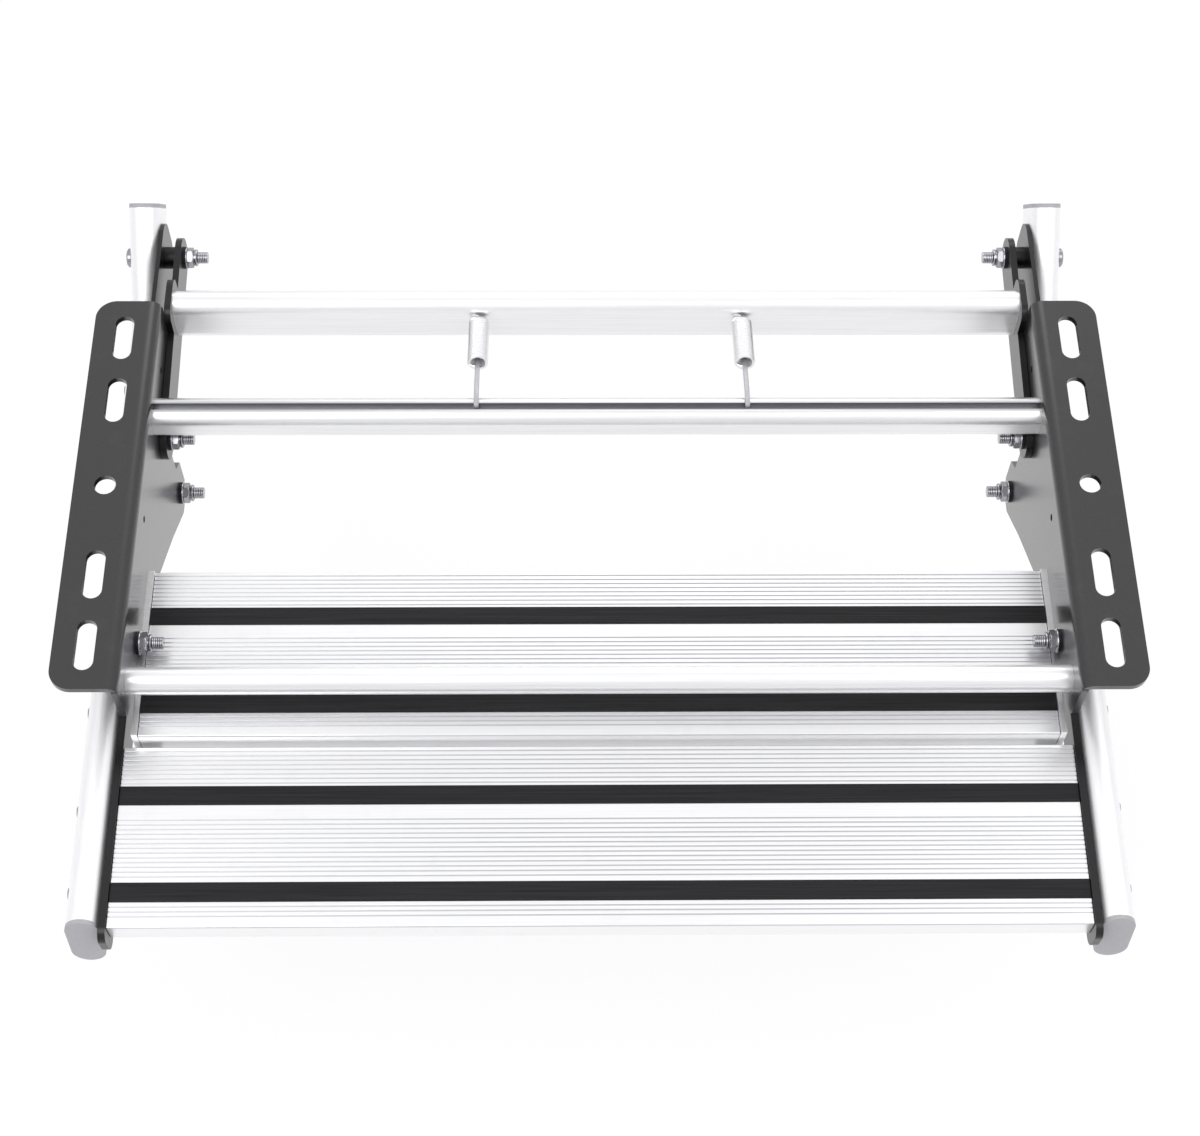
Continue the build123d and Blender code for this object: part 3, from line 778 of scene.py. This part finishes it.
# How far the thread starts inside the nut and how far it covers the shank's flat end
THREAD_INSIDE = 0.3
THREAD_PAST = 0.15
THREAD_ROOT = 3.98
THREAD_DEPTH = 0.3
TIP_TAPER = 1.1
THREAD_SIDES = 28
THREAD_STEPS = 72


def thread(side, near, y, z):
    """A threaded end along X: radius = root + depth * a triangle wave of (x / pitch - turn)."""
    tip = THREAD_LENGTH + THREAD_PAST
    along = np.linspace(-THREAD_INSIDE, tip, THREAD_STEPS)
    turn = np.linspace(0, 1, THREAD_SIDES, endpoint=False)
    phase = (along[:, None] / PITCH_MM - turn[None, :]) % 1.0
    wave = 1 - np.abs(2 * phase - 1)
    left = np.clip((tip - along) / TIP_TAPER, 0, 1)[:, None]
    reach = THREAD_ROOT + THREAD_DEPTH * wave * left
    points = np.stack(
        [
            np.broadcast_to(side * (near - along[:, None]), reach.shape),
            y + reach * np.cos(2 * np.pi * turn),
            z + reach * np.sin(2 * np.pi * turn),
        ],
        axis=-1,
    )
    return surface(points * MM)


for name, body, seats in (
    ("bracket_bolt_threads", "chassis", CHASSIS_NUTS),
    ("frame_bolt_threads", "lower_step", FRAME_NUTS),
):
    shapes = [
        thread(s, seat - WASHER - PLAIN_NUT, y, z) for s in SIDES for seat, y, z in seats
    ]
    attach(build(name, shapes, zinc_steel), body)

# %% [markdown]
# ## Floor, lights and room
# The photograph has a plain white ground and light from every side, as in a white tent. A large
# pale floor lies well under the step, low enough for it to swing down. Three soft lamps give the
# metal its bright side, and the room is white above and grey at the horizon, so that a round
# tube shows its shape. The lamps are weak: the white of the picture comes from the floor and
# the room, which the camera sees as plain white paper.
# %% Floor and lights
# Height and half width of the floor in metres
FLOOR_Z = -0.3
FLOOR_HALF = 6.0
# How much of the floor is plain white to the camera, and to the metal that mirrors it
FLOOR_GLOW = 0.85
FLOOR_GLOW_IN_METAL = 0.8
PAPER = "#f4f4f4"
WHITE = "#ffffff"

corners = [
    (x * FLOOR_HALF, y * FLOOR_HALF, FLOOR_Z)
    for x, y in ((-1, -1), (1, -1), (1, 1), (-1, 1))
]
floor_mesh = bpy.data.meshes.new("floor")
floor_mesh.from_pydata(corners, [], [(0, 1, 2, 3)])
floor = bpy.data.objects.new("floor", floor_mesh)
bpy.context.scene.collection.objects.link(floor)

floor_paper, tree, output = new_material("white_paper_ground")
rays = add(tree, "ShaderNodeLightPath").outputs
direct = arithmetic(tree, "MULTIPLY", rays["Is Camera Ray"], FLOOR_GLOW)
mirrored = arithmetic(tree, "MULTIPLY", rays["Is Glossy Ray"], FLOOR_GLOW_IN_METAL)
share = arithmetic(tree, "MAXIMUM", direct, mirrored)
matt = add(tree, "ShaderNodeBsdfDiffuse", {"Color": linear(PAPER)}).outputs["BSDF"]
white = add(
    tree, "ShaderNodeEmission", {"Color": linear(WHITE), "Strength": 1.0}
).outputs["Emission"]
ground = add(tree, "ShaderNodeMixShader", {0: share, 1: matt, 2: white})
tree.links.new(ground.outputs["Shader"], output.inputs["Surface"])
floor_mesh.materials.append(floor_paper)

# Lamps: name, place in metres, width in metres, power in watts
LAMPS = (
    ("key_lamp", (-0.9, -0.7, 1.5), 1.3, 10.0),
    ("fill_lamp", (1.1, -0.4, 1.3), 1.3, 7.0),
    ("rear_lamp", (0.1, 1.4, 0.9), 1.2, 6.0),
)
LAMP_TARGET = np.array((0.0, 0.0, -0.06))
for name, place, size, power in LAMPS:
    lamp = bpy.data.lights.new(name, "AREA")
    lamp.shape = "DISK"
    lamp.size = size
    lamp.energy = power
    holder = bpy.data.objects.new(name, lamp)
    back = np.array(place) - LAMP_TARGET
    back /= np.linalg.norm(back)
    sideways = np.cross((0.0, 0.0, 1.0), back)
    sideways /= np.linalg.norm(sideways)
    matrix = np.eye(4)
    matrix[:3, 0] = sideways
    matrix[:3, 1] = np.cross(back, sideways)
    matrix[:3, 2] = back
    matrix[:3, 3] = place
    holder.matrix_world = matrix.T.tolist()
    bpy.context.scene.collection.objects.link(holder)

ROOM_STRENGTH = 0.95
# The room's colour at the horizon, and how high up it has become white
HORIZON = "#e8e8ea"
WHITE_FROM = 0.75

room = bpy.data.worlds.new("white_room")
bpy.context.scene.world = room
room.use_nodes = True
tree = room.node_tree
tree.nodes.clear()
way = add(tree, "ShaderNodeTexCoord").outputs["Generated"]
height = add(tree, "ShaderNodeSeparateXYZ", {0: way}).outputs["Z"]
sky = add(tree, "ShaderNodeValToRGB", {"Fac": height})
horizon, above = sky.color_ramp.elements
horizon.position, above.position = 0.0, WHITE_FROM
horizon.color, above.color = linear(HORIZON), linear(WHITE)
light = add(
    tree,
    "ShaderNodeBackground",
    {"Color": sky.outputs["Color"], "Strength": ROOM_STRENGTH},
).outputs["Background"]
plain = add(
    tree, "ShaderNodeBackground", {"Color": linear(WHITE), "Strength": 1.0}
).outputs["Background"]
is_camera = add(tree, "ShaderNodeLightPath").outputs["Is Camera Ray"]
both = add(tree, "ShaderNodeMixShader", {0: is_camera, 1: light, 2: plain})
world_output = add(tree, "ShaderNodeOutputWorld")
tree.links.new(both.outputs["Shader"], world_output.inputs["Surface"])
print("lamps:", len(LAMPS))
